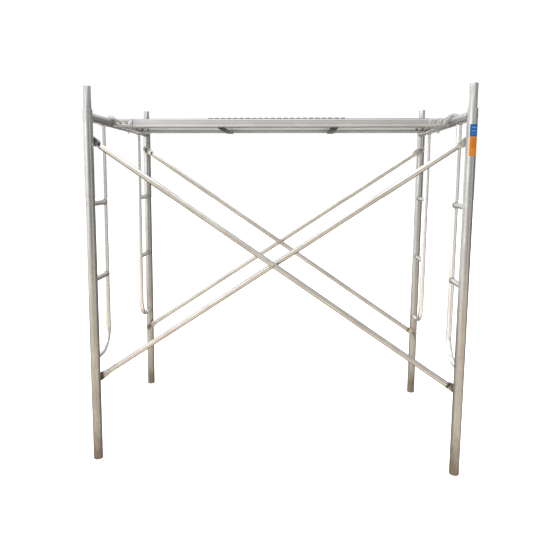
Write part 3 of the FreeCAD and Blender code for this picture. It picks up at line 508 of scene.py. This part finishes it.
brace_zinc = {}
for side in ("front", "rear"):
    for way, fall in (("falling", 1), ("rising", -1)):
        name = f"brace_{side}_{way}"
        low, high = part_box(name)
        shift = -fall * (high.y - low.y - flat_half - brace_radius)
        plane = (high.y if fall > 0 else low.y) - fall * flat_half
        form = bmesh.new()
        reaches = [-flat_width * math.cos(math.pi / 2 * step / 9) for step in range(9)] + [0, 0.012, 0.024]
        reaches += [flat_length + taper_length * step / 12 for step in range(13)] + [0.12, 0.4]
        stations = reaches + [brace_length / 2] + [brace_length - reach for reach in reversed(reaches)]
        ring = bmesh.ops.create_circle(form, segments=40, radius=1)["verts"]
        rings = [ring]
        for _ in stations[1:]:
            rings.append(drawn_on(form, rings[-1], Vector((0, 0, 1))))
        for station, loop in zip(stations, rings):
            wide, thick, roundness, moved = brace_section(min(station, brace_length - station))
            for vert in loop:
                flat_way, deep_way = vert.co.x, vert.co.y
                power = 0.35 + 0.65 * roundness
                deep = math.copysign(abs(deep_way) ** power, deep_way)
                vert.co = (station, shift * moved + thick * deep, wide * flat_way)
        closed(form)
        start = Vector((post_axis[side + "_left"].x, plane, stud_at["upper" if fall > 0 else "lower"]))
        lean = Matrix.Translation(start) @ Matrix.Rotation(fall * slope, 4, "Y")
        bmesh.ops.transform(form, matrix=lean, verts=form.verts)
        # Slightly tanned tubes with runs along their lean, and darker, pitted flats.
        if way not in brace_zinc:
            turn = (0, math.pi / 2 - fall * slope, 0)
            brace_zinc[way] = hot_dip_zinc("dipped_zinc_on_brace_" + way, "#DAD9D6", "#B7B3AC", "#8F8470",
                                           turn=turn, grimy=0.4)
            mottled_mix_where(brace_zinc[way], "pressed", "#6F6D6A", "#A3A09A")
        piece = add_piece(form, f"brace_tube_{side}_{way}", brace_zinc[way], [name])

        punch = bmesh.new()
        for reach in (0, brace_length):
            made = bmesh.ops.create_cone(punch, cap_ends=True, segments=32, radius1=stud_hole,
                                         radius2=stud_hole, depth=0.03)["verts"]
            place = lean @ Matrix.Translation((reach, 0, 0)) @ Matrix.Rotation(math.pi / 2, 4, "X")
            bmesh.ops.transform(punch, matrix=place, verts=made)
        punch_mesh = bpy.data.meshes.new("punch")
        punch.to_mesh(punch_mesh)
        punch.free()
        cutter = bpy.data.objects.new("punch", punch_mesh)
        bpy.context.scene.collection.objects.link(cutter)
        holes = piece.modifiers.new("stud_holes", "BOOLEAN")
        holes.operation, holes.solver, holes.object = "DIFFERENCE", "EXACT", cutter
        bpy.context.view_layer.update()
        punched = bpy.data.meshes.new_from_object(piece.evaluated_get(bpy.context.evaluated_depsgraph_get()))
        piece.modifiers.clear()
        piece.data = punched
        bpy.data.objects.remove(cutter)
        punched.set_sharp_from_angle(angle=math.radians(35))
        pressed = punched.attributes.new("pressed", "FLOAT", "POINT")
        for vert in punched.vertices:
            reach = (lean.inverted() @ vert.co).x
            into_flat = flat_length + 0.002 - min(reach, brace_length - reach)
            share = max(0, min(1, into_flat / flat_fade))
            pressed.data[vert.index].value = share * (dark_left if vert.co.x < 0 else dark_right)


# ---- Brace pivots ----
# A steel rivet with a head at each end ties the two tubes of a pair where they cross, and a plain
# washer keeps them apart, so the pair folds like scissors once it is off its studs.
pivot_radius, pivot_head, head_height = 0.004, 0.0075, 0.003
washer_bore, washer_radius, washer_half = 0.0042, 0.01, 0.0015
rivets, washers = bmesh.new(), bmesh.new()
cross_height = (stud_at["upper"] + stud_at["lower"]) / 2
for side in ("front", "rear"):
    low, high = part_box(f"brace_{side}_falling")
    other_low, other_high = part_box(f"brace_{side}_rising")
    near, far = min(low.y, other_low.y), max(high.y, other_high.y)
    plane, half = (near + far) / 2, (far - near) / 2
    dome = [(pivot_head, 0), (pivot_head, 0.0003), (0.0058, 0.0018), (0.003, 0.0028), (0, head_height)]
    outline = rivet_outline(dome, pivot_radius, -half, half)
    ring = [(washer_bore, -washer_half), (washer_radius - 0.0003, -washer_half),
            (washer_radius, 0.0003 - washer_half), (washer_radius, washer_half - 0.0003),
            (washer_radius - 0.0003, washer_half), (washer_bore, washer_half)]
    crossing = Vector((0, plane, cross_height))
    for outline_used, group in ((outline, rivets), (ring, washers)):
        gather(group, turned(outline_used, crossing, along=(0, 1, 0), steps=32))
add_piece(rivets, "brace_pivot_rivet_set", plated_steel, ["brace_pivot_rivets"])
add_piece(washers, "brace_washer_set", plated_steel, ["brace_spacers"])


# ---- Walk board: deck ----
# One sheet of pre-galvanised steel, rolled with three drainage grooves and raised into small
# anti-slip rings. It is spot welded along both edges to the side rails.
deck_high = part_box("board_deck")[1]
deck_top, deck_end, deck_edge = deck_high.z, deck_high.x, deck_high.y
sheet, deck_bend = 0.0015, 0.0018
groove_deep, groove_pitch, groove_mouth, groove_floor = 0.008, 0.092, 0.01, 0.0085
# Cool bright sheet. Much of the rest is painted light and shade: the inner sides of the rails are painted
# whiter and less metallic, the outer webs and the upward faces of the deck are painted duller, and the walls of
# the grooves are painted dark. The level lines on the webs are painted light and shade too: on the inner webs,
# the shade of a rolled rib that the mesh does not have; on the outer webs, a dark line along the foot, white
# highlights near the top and low down, and grey bands between.
sheet_zinc = hot_dip_zinc("pre_galvanised_sheet", "#F0F1F1", "#D8D9D9", "#A09D97", turn=(0, math.pi / 2, 0),
                          rough=(0.26, 0.4), grimy=0.2)
# Painted shade: the outer webs duller than the rest of the sheet.
mottled_mix_where(sheet_zinc, "outer_web_painted_light", "#BCBAB6", "#E2E2E1")
# Painted shade: dark walls in the grooves.
mottled_mix_where(sheet_zinc, "groove_wall_painted_shade", "#5A5A59", "#807F7C")
# Painted shade: darker upward faces of the deck, in place of a dimmer reflected ceiling.
mottled_mix_where(sheet_zinc, "upward_face_painted_shade", "#8E8D8A", "#B2B1AE")
# Painted light: whiter inner webs.
mottled_mix_where(sheet_zinc, "inner_web_painted_light", "#DCE2E5", "#F1F5F7")
rail_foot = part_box("board_rail_front")[0].z
# Painted shade: two dark lines on the inner webs, for a rolled rib that the mesh does not have.
painted_light_lines(sheet_zinc, "inner_web_painted_light", "#2F2F2E", rail_foot, [(0.0137, 0.0032, 0.7), (0.0310, 0.0026, 0.7)])
# Painted shade: a dark line along the foot of the outer webs.
painted_light_lines(sheet_zinc, "outer_web_painted_light", "#4E4841", rail_foot, [(0.0015, 0.0030, 0.9)])
# Painted highlights: a white line near the top of the outer webs and a broad pale band low down.
painted_light_lines(sheet_zinc, "outer_web_painted_light", "#FFFFFF", rail_foot, [(0.0360, 0.0024, 0.8), (0.0050, 0.0110, 0.3)])
# Painted shade: grey bands under the top highlight.
painted_light_lines(sheet_zinc, "outer_web_painted_light", "#82817F", rail_foot, [(0.0318, 0.0017, 0.6), (0.0260, 0.0160, 0.28)])
# Painted light: the inner webs less metallic, so that they read brighter.
painted_light_less_metallic(sheet_zinc, 0.6, "inner_web_painted_light")
# Dark grey rings, painted shade, so that they read as dark points along the edge.
ring_painted_shade_zinc = hot_dip_zinc("anti_slip_ring_painted_shade", "#8B8A89", "#6C6B69", "#4F4B45", grimy=0.4)


def rolled(points, run, reach, bend, thickness, outward):
    """Sheet rolled to a profile: a strip along points, extruded, with rounded bends and a wall."""
    form = bmesh.new()
    verts = [form.verts.new(point) for point in points]
    spine = [form.edges.new(pair) for pair in zip(verts, verts[1:])]
    grown = bmesh.ops.extrude_edge_only(form, edges=spine)["geom"]
    far = [item for item in grown if isinstance(item, bmesh.types.BMVert)]
    bmesh.ops.translate(form, vec=reach * Vector(run), verts=far)
    bends = [edge for edge in form.edges if len(edge.link_faces) == 2]
    bmesh.ops.bevel(form, geom=bends, offset=bend, affect="EDGES", segments=5, profile=0.5, material=-1)
    bmesh.ops.recalc_face_normals(form, faces=form.faces)
    face = max(form.faces, key=lambda item: item.calc_area())
    if face.normal.dot(Vector(outward)) < 0:
        bmesh.ops.reverse_faces(form, faces=form.faces)
    bmesh.ops.solidify(form, geom=form.faces, thickness=thickness)
    bmesh.ops.recalc_face_normals(form, faces=form.faces)
    return form


def mark_faces(piece, attribute, chosen):
    """Set a mesh attribute, which the material reads for painted light and shade, on the faces whose normal the
    test picks.
    """
    marks = piece.data.attributes.new(attribute, "FLOAT", "FACE").data
    for face in piece.data.polygons:
        marks[face.index].value = 0.9 if chosen(face.normal) else 0


points = [(-deck_end, -deck_edge, deck_top)]
for index in (-1, 0, 1):
    for step, depth in ((-groove_mouth, 0), (-groove_floor, groove_deep), (groove_floor, groove_deep),
                        (groove_mouth, 0)):
        points.append((-deck_end, index * groove_pitch + step, deck_top - depth))
points.append((-deck_end, deck_edge, deck_top))
deck = rolled(points, (1, 0, 0), 2 * deck_end, deck_bend, sheet, (0, 0, 1))
piece = add_piece(deck, "deck_sheet", sheet_zinc, ["board_deck"], body="walk_board")
# Painted shade on the groove walls and on the upward faces of the deck.
mark_faces(piece, "groove_wall_painted_shade", lambda normal: abs(normal.y) > 0.4)
# Painted shade: darker upward faces of the deck.
mark_faces(piece, "upward_face_painted_shade", lambda normal: normal.z > 0.9)

# Six rows of round rings, and a row of longer, taller ones in the middle of each edge.
edge_row, edge_half_run, edge_pitch, edge_long, edge_tall = 0.173, 0.33, 0.03, 1.9, 1.4
ring_pitch, ring_margin = 0.045, 0.03
ring_outline = [(0.0072, -0.0004), (0.0062, 0.0022), (0.0050, 0.0036), (0.0038, 0.0036), (0.0028, 0.0016),
                (0.0026, -0.0004)]
one_ring = turned(ring_outline, Vector((0, 0, 0)), steps=14)
one_mesh = bpy.data.meshes.new("one_ring")
one_ring.to_mesh(one_mesh)
one_ring.free()
tread = bmesh.new()
for row, across in enumerate((-edge_row, -0.138, -0.062, -0.03, 0.03, 0.062, 0.138, edge_row)):
    at_edge = abs(across) == edge_row
    pitch = edge_pitch if at_edge else ring_pitch
    shape = Matrix.Diagonal((edge_long, 1, edge_tall, 1) if at_edge else (1, 1, 1, 1))
    count = int(2 * (deck_end - ring_margin) / pitch)
    for index in range(count):
        shift = (index - (count - 1) / 2 + 0.25 * (-1) ** row) * pitch
        if at_edge and abs(shift) > edge_half_run:
            continue
        before = len(tread.verts)
        tread.from_mesh(one_mesh)
        tread.verts.ensure_lookup_table()
        place = Matrix.Translation((shift, across, deck_top)) @ shape
        bmesh.ops.transform(tread, matrix=place, verts=tread.verts[before:])
bpy.data.meshes.remove(one_mesh)
add_piece(tread, "anti_slip_rings", ring_painted_shade_zinc, body="walk_board", crease=60)


# ---- Walk board: rails, end channels and cross strips ----
# Rolled channels of galvanised steel along both edges, a smaller channel across each end, and two
# flat strips across the underside. They are spot welded together before the hooks go on.
rail_wall, rail_flange, rail_corner = 0.0016, 0.018, 0.0024
end_wall, end_flange, end_corner = 0.002, 0.022, 0.003
# Dark, matt strip.
strip_steel = hot_dip_zinc("galvanised_flat_strip", "#827E7B", "#5E5A57", "#4A443D", turn=(math.pi / 2, 0, 0),
                           rough=(0.4, 0.6), grimy=0.5)
for side, y_side in (("front", -1), ("rear", 1)):
    low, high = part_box("board_rail_" + side)
    face = low.y if y_side < 0 else high.y
    lip = face - y_side * rail_flange
    points = [(low.x, lip, low.z), (low.x, face, low.z), (low.x, face, high.z), (low.x, lip, high.z)]
    rail = rolled(points, (1, 0, 0), high.x - low.x, rail_corner, rail_wall, (0, y_side, 0))
    piece = add_piece(rail, "side_rail_" + side, sheet_zinc, ["board_rail_" + side],
                      body="walk_board")
    # Painted light and shade on the outer and inner webs.
    mark_faces(piece, "outer_web_painted_light", lambda normal: normal.y * y_side > 0.6)
    mark_faces(piece, "inner_web_painted_light", lambda normal: normal.y * y_side < -0.97)
for side, x_side in (("left", -1), ("right", 1)):
    low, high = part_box("board_end_channel_" + side)
    face = low.x if x_side < 0 else high.x
    lip = face - x_side * end_flange
    points = [(lip, low.y, low.z), (face, low.y, low.z), (face, low.y, high.z), (lip, low.y, high.z)]
    channel = rolled(points, (0, 1, 0), high.y - low.y, end_corner, end_wall, (x_side, 0, 0))
    add_piece(channel, "end_channel_" + side, sheet_zinc, ["board_end_channel_" + side],
              body="walk_board")
    strip = "board_cross_strip_" + side
    add_piece(eased(strip, 0.0008), "cross_strip_" + side, strip_steel, [strip],
              body="walk_board")


# ---- Walk board: hooks ----
# Flame-cut 6 mm steel plates, galvanised, one outside each end of each rail. Two round-headed
# rivets hold each plate, and its open throat drops over the top bar.
# Pale plates with a soft sheen, and darker, shinier rivet heads that stand out on them.
plate_zinc = hot_dip_zinc("hot_dip_zinc_on_hook_plate", "#DAD9D7", "#C3C1BD", "#9A948A", rough=(0.28, 0.4),
                          grimy=0.15)
rivet_steel = hot_dip_zinc("zinc_plated_hook_rivet", "#B4B2AF", "#8E8B87", "#5E584F", rough=(0.2, 0.32),
                           grimy=0.4)
shank, head, grip = 0.004, 0.007, 0.0076
hook_dome = [(head, 0), (0.0063, 0.001), (0.0046, 0.0019), (0.0024, 0.0024), (0, 0.0025)]
hook_rivet_outline = rivet_outline(hook_dome, shank, 0, grip)
rivet_height = middle_of("board_hook_rivets").z
rivet_reaches = (0.056, 0.086)
rivets = bmesh.new()
for corner, (x_side, y_side) in corners.items():
    plate = "board_hook_" + corner
    add_piece(eased(plate, 0.0006), "hook_plate_" + corner, plate_zinc, [plate],
              body="walk_board")
    low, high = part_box(plate)
    face = low.y if y_side < 0 else high.y
    for reach in rivet_reaches:
        place = Vector((post_axis[corner].x - x_side * reach, face, rivet_height))
        gather(rivets, turned(hook_rivet_outline, place, along=(0, -y_side, 0), steps=28))
add_piece(rivets, "hook_rivet_set", rivet_steel, ["board_hook_rivets"],
          body="walk_board")


# ---- Labels ----
# Two plain vinyl bands stuck round the front right post, blue above orange. They carry no words,
# only soft bars, and the sun and handling have worn them unevenly.
label_turn, label_from = math.radians(150), math.radians(-125)
label_gap, label_film, bars_from, bars_to = 0.00005, 0.00028, -105, -50


def satin_vinyl(name, base, faded, bar):
    """Satin printed vinyl: strong flat colour, faded in 20 mm patches, with a few plain printed bars."""
    material = bpy.data.materials.new(name)
    material.use_nodes = True
    tree = material.node_tree
    tree.nodes.clear()
    place = node(tree, "ShaderNodeTexCoord", {}).outputs["Object"]
    fade = node(tree, "ShaderNodeTexNoise", {"Scale": 1 / 0.02, "Detail": 5, "Roughness": 0.65},
                {"Vector": place}).outputs["Fac"]
    colour = node(tree, "ShaderNodeMix", {"data_type": "RGBA", 6: linear(base), 7: linear(faded)},
                  {0: fade}).outputs[2]
    printed = node(tree, "ShaderNodeAttribute", {"attribute_name": "printed"}).outputs["Fac"]
    share = maths(tree, "MULTIPLY", printed, fade)
    colour = node(tree, "ShaderNodeMix", {"data_type": "RGBA", 7: linear(bar)},
                  {0: share, 6: colour}).outputs[2]
    shine = ranged(tree, fade, 0, 1, 0.3, 0.5)
    bump = node(tree, "ShaderNodeBump", {"Strength": 0.2, "Distance": 0.0003},
                {"Height": fade}).outputs["Normal"]
    shader = node(tree, "ShaderNodeBsdfPrincipled", {"IOR": 1.5, "Specular IOR Level": 0.2},
                  {"Base Color": colour, "Roughness": shine, "Normal": bump})
    node(tree, "ShaderNodeOutputMaterial", {}, {"Surface": shader.outputs["BSDF"]})
    return material


for name, base, faded, bar, bars in (
        ("blue", "#05366C", "#0D5A98", "#7FA2C2", [(0.2, 0.32), (0.5, 0.58), (0.76, 0.82)]),
        ("orange", "#A95F10", "#BC7018", "#90500E", [(0.12, 0.6)])):
    low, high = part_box("label_" + name)
    axis = post_axis["front_right"]
    radius = post_radius + label_gap
    band = bmesh.new()
    rows = [low.z + (high.z - low.z) * step / 40 for step in range(41)]
    edge_x, edge_y = axis.x + radius * math.cos(label_from), axis.y + radius * math.sin(label_from)
    verts = [band.verts.new((edge_x, edge_y, row)) for row in rows]
    edges = [band.edges.new(pair) for pair in zip(verts, verts[1:])]
    bmesh.ops.spin(band, geom=verts + edges, cent=axis, axis=(0, 0, 1), angle=label_turn, steps=60)
    bmesh.ops.recalc_face_normals(band, faces=band.faces)
    band.faces.ensure_lookup_table()
    if band.faces[0].normal.dot(band.faces[0].calc_center_median() - axis) < 0:
        bmesh.ops.reverse_faces(band, faces=band.faces)
    bmesh.ops.solidify(band, geom=band.faces, thickness=-label_film)
    bmesh.ops.recalc_face_normals(band, faces=band.faces)
    vinyl = satin_vinyl(f"satin_{name}_vinyl", base, faded, bar)
    piece = add_piece(band, f"{name}_band", vinyl, ["label_" + name])
    printed = piece.data.attributes.new("printed", "FLOAT", "POINT")
    for vert in piece.data.vertices:
        share = (high.z - vert.co.z) / (high.z - low.z)
        angle = math.degrees(math.atan2(vert.co.y - axis.y, vert.co.x - axis.x))
        inside = any(start < share < finish for start, finish in bars) and bars_from < angle < bars_to
        printed.data[vert.index].value = 0.9 if inside else 0


# ---- Floor, light and camera ----
# A plain pale studio floor, a large soft light overhead, a tall one to the left, a low fill to the
# right and a soft surround, which is how bare zinc shows its runs without hard glints.
floor_form = bmesh.new()
bmesh.ops.create_circle(floor_form, cap_ends=True, segments=96, radius=30)
floor_mesh = bpy.data.meshes.new("studio_floor")
floor_form.to_mesh(floor_mesh)
floor_form.free()
floor = bpy.data.objects.new("studio_floor", floor_mesh)
floor.visible_glossy = False
bpy.context.scene.collection.objects.link(floor)
# Matt near-white paint that glows a little, so that it stays even and shows only a faint shadow.
paint = bpy.data.materials.new("pale_floor_paint")
paint.use_nodes = True
tree = paint.node_tree
tree.nodes.clear()
white = node(tree, "ShaderNodeBsdfPrincipled", {"Base Color": linear("#F2F1EF"), "Roughness": 0.9,
                                                "Emission Color": linear("#FFFFFF"), "Emission Strength": 0.72})
node(tree, "ShaderNodeOutputMaterial", {}, {"Surface": white.outputs["BSDF"]})
floor_mesh.materials.append(paint)


def shaded(tree, amount, start, finish, dark, light):
    """Blend two colours, or sockets that carry them, as a direction's amount goes from start to finish."""
    share = node(tree, "ShaderNodeMapRange",
                 {"From Min": start, "From Max": finish, "interpolation_type": "SMOOTHSTEP"}, {"Value": amount})
    blend = node(tree, "ShaderNodeMix", {"data_type": "RGBA"}, {0: share.outputs["Result"]})
    for socket, colour in ((6, dark), (7, light)):
        if isinstance(colour, bpy.types.NodeSocket):
            tree.links.new(colour, blend.inputs[socket])
        else:
            blend.inputs[socket].default_value = (*colour, 1)
    return blend.outputs[2]


def surround(tree, way):
    """Colour of the room in each direction, which the metal reflects."""
    part = node(tree, "ShaderNodeSeparateXYZ", {}, {"Vector": way})
    left = node(tree, "ShaderNodeVectorMath", {"operation": "DOT_PRODUCT", 1: (-0.95, -0.1, 0.2)},
                {0: way}).outputs["Value"]
    # Walls: bright on the left, dim on the right, dimmer straight in front, bright straight behind.
    walls = shaded(tree, left, -0.62, 0.78, (0.2, 0.2, 0.215), (1.36, 1.36, 1.36))
    dimmed = node(tree, "ShaderNodeVectorMath", {"operation": "SCALE", "Scale": 0.66}, {0: walls}).outputs[0]
    walls = shaded(tree, part.outputs["Y"], -0.62, -0.98, walls, dimmed)
    walls = shaded(tree, part.outputs["Y"], 0.92, 0.99, walls, (1.15, 1.17, 1.19))
    # Ground: warm and bright in front, dark behind. Ceiling: bright from the left to past the middle.
    ground = shaded(tree, part.outputs["Y"], 0.4, -0.4, (0.14, 0.14, 0.155), (1.22, 1.03, 0.8))
    ceiling = shaded(tree, left, -0.55, 0.12, (0.6, 0.6, 0.61), (1.32, 1.32, 1.32))
    lower = shaded(tree, part.outputs["Z"], -0.32, -0.1, ground, walls)
    return shaded(tree, part.outputs["Z"], 0.02, 0.3, lower, ceiling)


world = bpy.data.worlds.new("studio")
bpy.context.scene.world = world
world.use_nodes = True
tree = world.node_tree
tree.nodes.clear()
room = surround(tree, node(tree, "ShaderNodeTexCoord", {}).outputs["Generated"])
around = node(tree, "ShaderNodeBackground", {"Strength": 1.0}, {"Color": room}).outputs[0]
backdrop = node(tree, "ShaderNodeBackground", {"Color": linear("#FFFFFF"), "Strength": 1.05}).outputs[0]
# Seen directly, the room is a plain white backdrop.
seen = node(tree, "ShaderNodeLightPath", {}).outputs["Is Camera Ray"]
both = node(tree, "ShaderNodeMixShader", {}, {0: seen, 1: around, 2: backdrop}).outputs[0]
node(tree, "ShaderNodeOutputWorld", {}, {"Surface": both})

for name, place, size, power in (("overhead_softbox", (-0.3, -0.4, 3.8), (3.6, 3.0), 34),
                                 ("left_softbox", (-2.9, -3.3, 2.2), (2.6, 2.8), 16),
                                 ("right_fill", (3.0, -2.6, 1.2), (2.4, 2.4), 8)):
    lamp = bpy.data.lights.new(name, "AREA")
    lamp.shape, lamp.size, lamp.size_y, lamp.energy = "RECTANGLE", size[0], size[1], power
    rig = bpy.data.objects.new(name, lamp)
    rig.visible_camera = False
    aim = Vector((0, 0, 0.9)) - Vector(place)
    rig.matrix_world = Matrix.Translation(place) @ aim.to_track_quat("-Z", "Y").to_matrix().to_4x4()
    bpy.context.scene.collection.objects.link(rig)

lens = bpy.data.cameras.new("camera")
lens.sensor_width, lens.lens = 36, 34.067
lens.shift_x, lens.shift_y = 0.0408, -0.0725
lens.clip_start, lens.clip_end = 0.05, 100
camera = bpy.data.objects.new("camera", lens)
stand = Matrix.Translation((0.0972, -2.7475, 1.3168))
pan, tilt, roll = math.radians(4.247), math.radians(90 - 6.819), math.radians(0.313)
camera.matrix_world = (stand @ Matrix.Rotation(pan, 4, "Z") @ Matrix.Rotation(tilt, 4, "X")
                       @ Matrix.Rotation(roll, 4, "Z"))
bpy.context.scene.collection.objects.link(camera)
bpy.context.scene.camera = camera
bpy.context.scene.view_settings.view_transform = "Standard"
